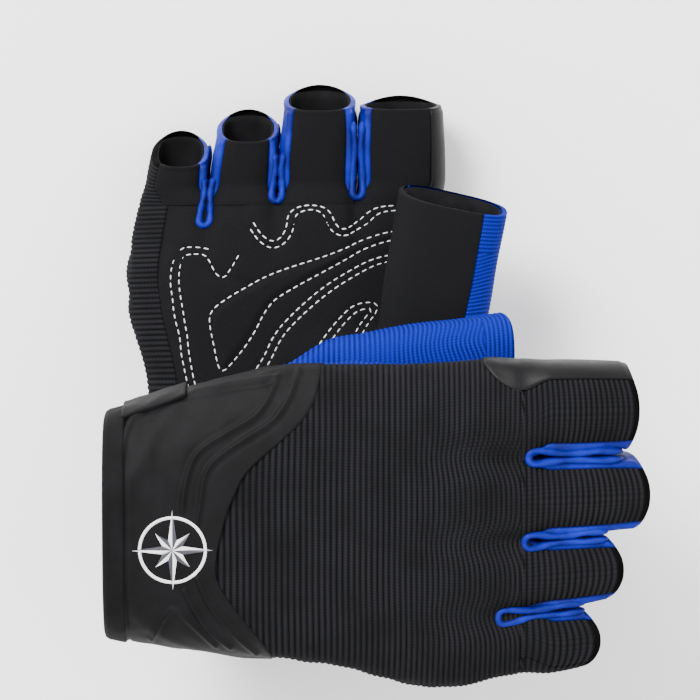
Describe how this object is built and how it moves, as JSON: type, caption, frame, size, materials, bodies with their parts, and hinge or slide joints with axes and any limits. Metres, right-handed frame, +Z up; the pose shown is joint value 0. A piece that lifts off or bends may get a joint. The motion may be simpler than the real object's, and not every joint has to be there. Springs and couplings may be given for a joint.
{
  "type": "sailing gloves",
  "caption": "Short-finger sailing gloves laid crosswise, with ribbed knit backs, stitched dark palms, blue stretch gussets and wrapped wrist closures.",
  "frame": {"origin": "middle of the pair's footprint, on the surface it lies on", "axes": "+Z up out of the surface, +X along the upper glove towards its fingertips, +Y along the lower glove towards its fingertips"},
  "size_m": [0.1669, 0.191, 0.1095],
  "materials": {
    "rib_knit": "matt ribbed knit",
    "palm_microfibre": "matt suede-like microfibre",
    "palm_overlay": "matt suede-like microfibre",
    "cuff_neoprene": "matt laminated foam rubber",
    "binding": "fine woven tape",
    "blue_stretch": "satin stretch fabric",
    "emblem_print": "flat transfer print",
    "loop_fabric": "brushed loop pile",
    "hook_tape": "moulded hooks",
    "pull_rubber": "matt moulded rubber"
  },
  "bodies": {
    "top_hand": {"top_cuff_panel": "cuff_neoprene", "top_under_cuff": "cuff_neoprene", "top_cuff_binding": "binding", "top_back_panel": "rib_knit", "top_palm_heel": "palm_microfibre", "top_palm_front": "palm_microfibre", "top_thumb_gusset": "blue_stretch", "top_heel_pad": "palm_overlay", "top_palm_pad": "palm_overlay", "top_emblem": "emblem_print", "top_loop_patch": "loop_fabric"},
    "top_tab": {"top_closure_tab": "cuff_neoprene", "top_hook_patch": "hook_tape", "top_pull_tip": "pull_rubber"},
    "top_index": {"top_index_back": "rib_knit", "top_index_palm": "palm_microfibre", "top_index_sides": "blue_stretch"},
    "top_middle": {"top_middle_back": "rib_knit", "top_middle_palm": "palm_microfibre", "top_middle_sides": "blue_stretch"},
    "top_ring": {"top_ring_back": "rib_knit", "top_ring_palm": "palm_microfibre", "top_ring_sides": "blue_stretch"},
    "top_pinky": {"top_pinky_back": "rib_knit", "top_pinky_palm": "palm_microfibre", "top_pinky_sides": "blue_stretch"},
    "top_thumb": {"top_thumb_back": "blue_stretch", "top_thumb_palm": "palm_microfibre", "top_thumb_sides": "blue_stretch"},
    "base_hand": {"base_cuff_panel": "cuff_neoprene", "base_under_cuff": "cuff_neoprene", "base_cuff_binding": "binding", "base_back_panel": "rib_knit", "base_palm_heel": "palm_microfibre", "base_palm_front": "palm_microfibre", "base_thumb_gusset": "blue_stretch", "base_heel_pad": "palm_overlay", "base_palm_pad": "palm_overlay", "base_emblem": "emblem_print", "base_loop_patch": "loop_fabric"},
    "base_tab": {"base_closure_tab": "cuff_neoprene", "base_hook_patch": "hook_tape", "base_pull_tip": "pull_rubber"},
    "base_index": {"base_index_back": "rib_knit", "base_index_palm": "palm_microfibre", "base_index_sides": "blue_stretch"},
    "base_middle": {"base_middle_back": "rib_knit", "base_middle_palm": "palm_microfibre", "base_middle_sides": "blue_stretch"},
    "base_ring": {"base_ring_back": "rib_knit", "base_ring_palm": "palm_microfibre", "base_ring_sides": "blue_stretch"},
    "base_pinky": {"base_pinky_back": "rib_knit", "base_pinky_palm": "palm_microfibre", "base_pinky_sides": "blue_stretch"},
    "base_thumb": {"base_thumb_back": "blue_stretch", "base_thumb_palm": "palm_microfibre", "base_thumb_sides": "blue_stretch"}
  },
  "joints": [
    {"name": "top_index_flex", "type": "hinge", "parent": "top_hand", "child": "top_index", "pos_m": [0.0437, -0.00854, 0.08737], "axis": [0, 0.9903, 0.1392], "range_deg": [0, 50], "stiffness_Nm_per_rad": 0.02},
    {"name": "top_middle_flex", "type": "hinge", "parent": "top_hand", "child": "top_middle", "pos_m": [0.0437, -0.03468, 0.0837], "axis": [0, 0.9903, 0.1392], "range_deg": [0, 50], "stiffness_Nm_per_rad": 0.02},
    {"name": "top_ring_flex", "type": "hinge", "parent": "top_hand", "child": "top_ring", "pos_m": [0.0437, -0.05891, 0.0808], "axis": [0, 0.9903, 0.1392], "range_deg": [0, 50], "stiffness_Nm_per_rad": 0.02},
    {"name": "top_pinky_flex", "type": "hinge", "parent": "top_hand", "child": "top_pinky", "pos_m": [0.0437, -0.0808, 0.07843], "axis": [0, 0.9903, 0.1392], "range_deg": [0, 50], "stiffness_Nm_per_rad": 0.02},
    {"name": "top_thumb_spread", "type": "hinge", "parent": "top_hand", "child": "top_thumb", "pos_m": [-0.0123, 0.01237, 0.07012], "axis": [0, -0.1392, 0.9903], "range_deg": [0, 35], "stiffness_Nm_per_rad": 0.02},
    {"name": "top_tab_open", "type": "hinge", "parent": "top_hand", "child": "top_tab", "pos_m": [-0.0693, -0.00674, 0.10286], "axis": [0.9492, 0.3086, 0.0611], "range_deg": [0, 120]},
    {"name": "base_index_flex", "type": "hinge", "parent": "base_hand", "child": "base_index", "pos_m": [0.0067, 0.0558, 0.0243], "axis": [1, 0, 0], "range_deg": [0, 50], "stiffness_Nm_per_rad": 0.02},
    {"name": "base_middle_flex", "type": "hinge", "parent": "base_hand", "child": "base_middle", "pos_m": [-0.0197, 0.0558, 0.0243], "axis": [1, 0, 0], "range_deg": [0, 50], "stiffness_Nm_per_rad": 0.02},
    {"name": "base_ring_flex", "type": "hinge", "parent": "base_hand", "child": "base_ring", "pos_m": [-0.0441, 0.0558, 0.0238], "axis": [1, 0, 0], "range_deg": [0, 50], "stiffness_Nm_per_rad": 0.02},
    {"name": "base_pinky_flex", "type": "hinge", "parent": "base_hand", "child": "base_pinky", "pos_m": [-0.0661, 0.0558, 0.0231], "axis": [1, 0, 0], "range_deg": [0, 50], "stiffness_Nm_per_rad": 0.02},
    {"name": "base_thumb_spread", "type": "hinge", "parent": "base_hand", "child": "base_thumb", "pos_m": [0.0305, -0.0002, 0.0443], "axis": [0, 0, -1], "range_deg": [0, 35], "stiffness_Nm_per_rad": 0.02},
    {"name": "base_tab_open", "type": "hinge", "parent": "base_hand", "child": "base_tab", "pos_m": [0.01063, -0.0572, 0.00922], "axis": [0.3141, 0.9492, -0.0175], "range_deg": [0, 120]},
    {"name": "top_glove_lift", "type": "slide", "parent": "base_hand", "child": "top_hand", "axis": [0, 0, 1], "range_m": [0, 0.12]}
  ]
}
